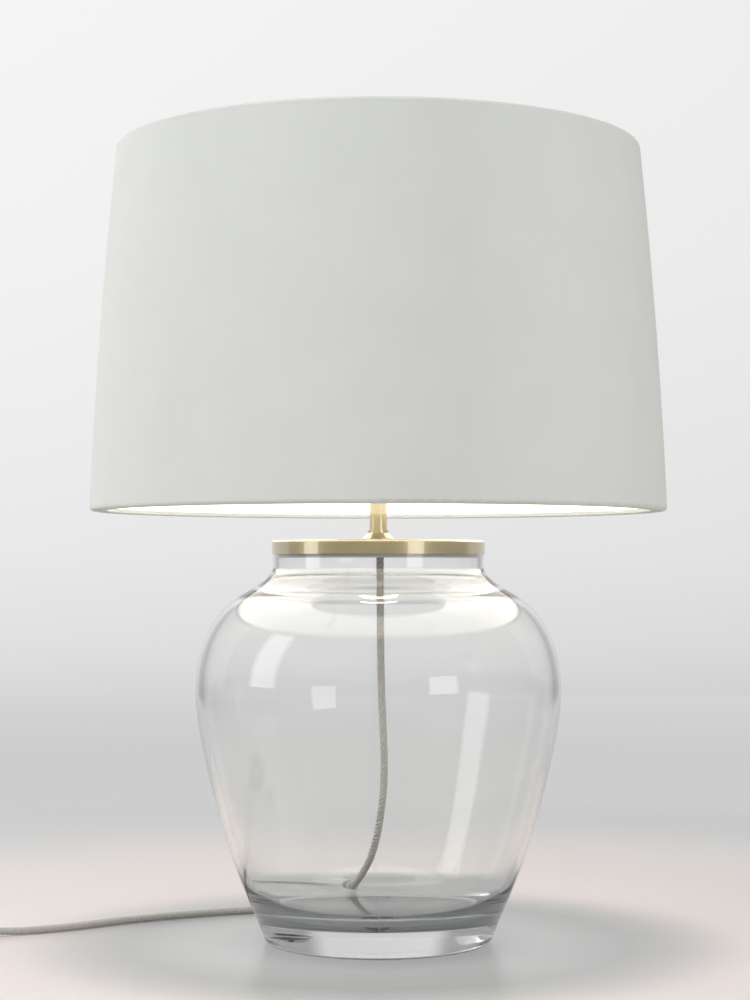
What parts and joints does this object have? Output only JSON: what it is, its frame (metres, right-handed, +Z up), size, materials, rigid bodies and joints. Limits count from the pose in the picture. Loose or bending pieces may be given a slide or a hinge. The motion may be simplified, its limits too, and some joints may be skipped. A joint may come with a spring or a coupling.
{
  "type": "table lamp",
  "caption": "Table lamp: clear glass jar base, brass lid and stem, threaded lampholder and lit bulb, bowed fabric drum shade, twisted flex with rocker switch and plug.",
  "frame": {"origin": "on the surface the lamp stands on, under the middle of the glass jar", "axes": "+Z up along the stem, +Y towards the drilled hole at the back, -X towards the side the flex leaves by"},
  "size_m": [0.6153, 0.4, 0.551],
  "materials": {
    "jar_glass": "clear polished blown glass",
    "clear_rubber": "translucent matt",
    "antique_brass": "satin, lightly aged",
    "silicone": "matt",
    "steel": "zinc plated",
    "flex_fabric": "twisted, textile covered",
    "white_plastic": "satin",
    "ivory_plastic": "satin",
    "ivory_rubber": "matt",
    "rocker_plastic": "satin",
    "holder_ceramic": "unglazed",
    "contact_brass": "bright",
    "core_plastic": "satin",
    "black_plastic": "satin",
    "bulb_metal": "bright nickel plated",
    "board_aluminium": "white lacquered",
    "led_yellow": "matt",
    "lit_diffuser": "opal, lit",
    "shade_linen": "fine plain weave",
    "shade_lining": "smooth",
    "white_wire": "white powder coat",
    "pin_metal": "nickel plated"
  },
  "bodies": {
    "base": {"cord_coil": "flex_fabric", "cord_grommet": "clear_rubber", "cord_lead": "flex_fabric", "cord_link": "flex_fabric", "cord_tail": "flex_fabric", "glass_jar": "jar_glass", "holder_cap": "white_plastic", "holder_contact": "contact_brass", "holder_insert": "holder_ceramic", "holder_nut": "steel", "holder_screw_shell": "contact_brass", "holder_shell": "white_plastic", "holder_terminals": "contact_brass", "holder_wires": "core_plastic", "jar_lid": "antique_brass", "lid_nut": "steel", "lid_seal": "silicone", "lid_washer": "steel", "plug_body": "ivory_plastic", "plug_pin_sleeves": "black_plastic", "plug_pins": "pin_metal", "plug_relief": "ivory_rubber", "shade_nut_lower": "white_plastic", "shade_nut_upper": "white_plastic", "stem_cable": "flex_fabric", "stem_foot": "antique_brass", "stem_tube": "antique_brass", "switch_base": "ivory_plastic", "switch_clamps": "contact_brass", "switch_cover": "ivory_plastic", "switch_pivot": "steel", "switch_screws": "steel", "threaded_tube": "steel"},
    "shade": {"shade_cover": "shade_linen", "shade_lining": "shade_lining", "shade_bottom_hem": "shade_linen", "shade_top_hem": "shade_linen", "shade_bottom_ring": "white_wire", "shade_top_ring": "white_wire", "shade_struts": "white_wire", "shade_spider": "white_wire"},
    "bulb_button": {"bulb_contact": "contact_brass"},
    "bulb": {"bulb_insulator": "black_plastic", "bulb_screw_cap": "bulb_metal", "bulb_collar": "white_plastic", "bulb_led_board": "board_aluminium", "bulb_leds": "led_yellow", "bulb_globe": "lit_diffuser"},
    "rocker": {"switch_rocker": "rocker_plastic"}
  },
  "joints": [
    {"name": "shade_turn", "type": "hinge", "parent": "base", "child": "shade", "pos_m": [0, 0, 0.345], "axis": [0, 0, 1], "continuous": true},
    {"name": "bulb_lift", "type": "slide", "parent": "base", "child": "bulb_button", "axis": [0, 0, 1], "range_m": [0, 0.01099]},
    {"name": "bulb_turn", "type": "hinge", "parent": "bulb_button", "child": "bulb", "pos_m": [0, 0, 0.345], "axis": [0, 0, 1], "range_deg": [0, 1080]},
    {"name": "rocker_tilt", "type": "hinge", "parent": "base", "child": "rocker", "pos_m": [-0.3282, -0.009, 0.013], "axis": [0.416, -0.9094, 0], "range_deg": [-18, 0]}
  ],
  "couplings": [
    {"joint": "bulb_lift", "follows": "bulb_turn", "m_per_rad": 0.00057773}
  ]
}
